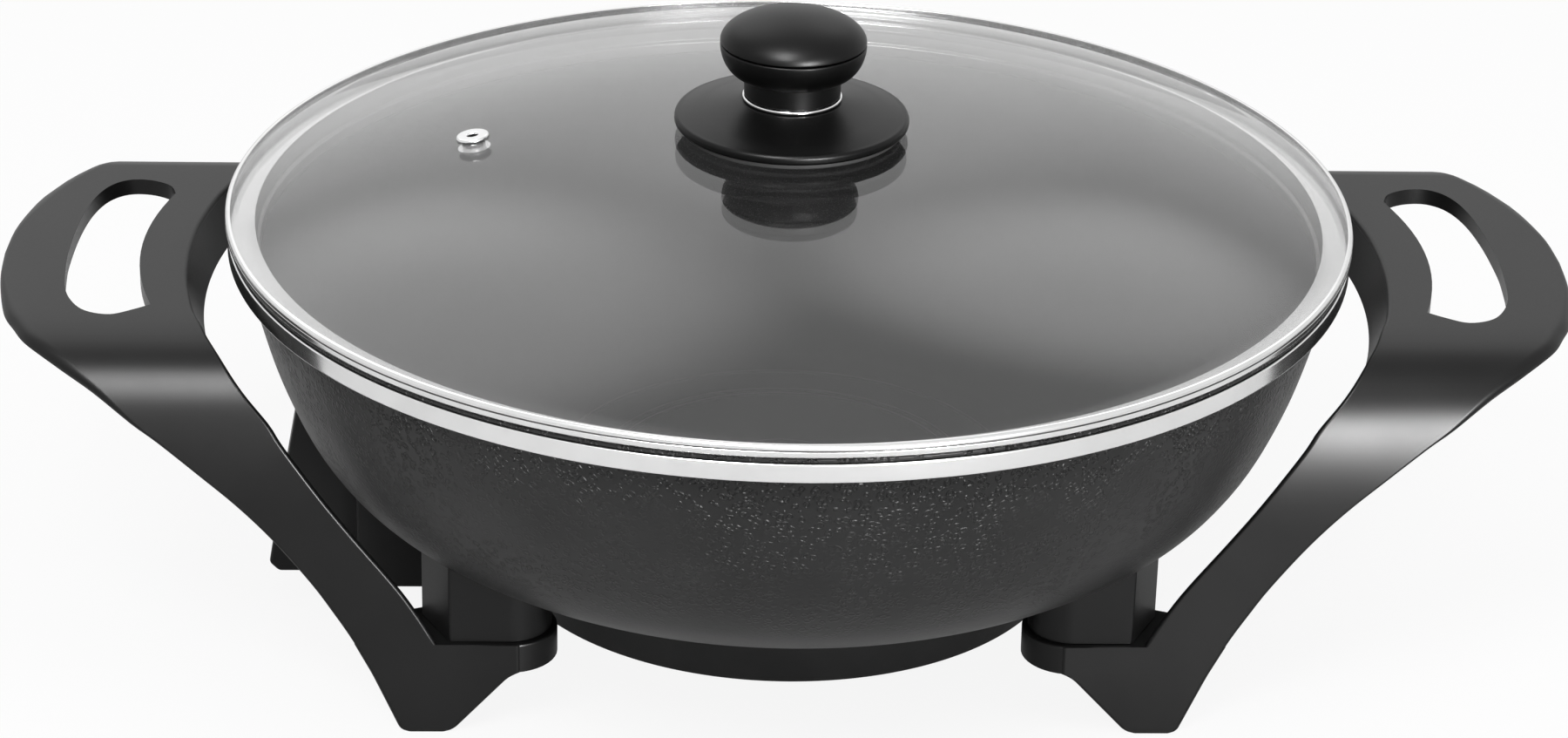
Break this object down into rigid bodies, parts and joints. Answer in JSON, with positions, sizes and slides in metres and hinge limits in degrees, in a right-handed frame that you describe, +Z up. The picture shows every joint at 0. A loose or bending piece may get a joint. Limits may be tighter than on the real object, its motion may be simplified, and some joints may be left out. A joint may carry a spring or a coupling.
{
  "type": "electric wok",
  "caption": "Round electric wok with a loose domed glass lid, a grip knob, two loop handles that run down into splayed legs, and an inlet for a plug-in thermostat.",
  "frame": {"origin": "centre of the overall box at the table, on the axis of the bowl", "axes": "+Z up along the bowl's axis, +X from the left handle to the right handle, front towards -Y"},
  "size_m": [0.503, 0.36, 0.2052],
  "materials": {
    "nonstick": "cast aluminium, dark non-stick coating, fine embossed grain outside",
    "steel": "polished stainless steel",
    "plastic": "moulded heat-resistant plastic, satin",
    "gloss_plastic": "moulded heat-resistant plastic, smooth",
    "glass": "clear tempered glass, faint grey",
    "rubber": "matte",
    "enamel": "dark satin coating on pressed sheet",
    "sheath": "heat-darkened steel tube",
    "insulator": "pale heat-resistant moulding",
    "screw_steel": "plated steel"
  },
  "bodies": {
    "wok": {"base_cover": "enamel", "bowl": "nonstick", "cover_screw_1": "screw_steel", "cover_screw_2": "screw_steel", "cover_screw_3": "screw_steel", "earth_contact": "screw_steel", "heating_element": "sheath", "housing_screw_front": "screw_steel", "housing_screw_rear": "screw_steel", "left_frame": "plastic", "leg_screw_left_front": "screw_steel", "leg_screw_left_rear": "screw_steel", "leg_screw_right_front": "screw_steel", "leg_screw_right_rear": "screw_steel", "post_left_front": "plastic", "post_left_rear": "plastic", "post_right_front": "plastic", "post_right_rear": "plastic", "probe_tube": "sheath", "right_frame": "plastic", "rim_band": "steel", "socket_block": "insulator", "socket_housing": "plastic", "terminal_pin_front": "screw_steel", "terminal_pin_rear": "screw_steel"},
    "lid": {"inner_gasket": "rubber", "knob_base": "gloss_plastic", "knob_cap": "gloss_plastic", "knob_gasket": "rubber", "knob_grip": "gloss_plastic", "knob_ring": "steel", "knob_screw": "screw_steel", "knob_washer": "screw_steel", "lid_glass": "glass", "lid_rim": "steel", "vent_eyelet": "steel"}
  },
  "joints": [
    {"name": "lid_lift", "type": "slide", "parent": "wok", "child": "lid", "axis": [0, 0, 1], "range_m": [0, 0.2]}
  ]
}
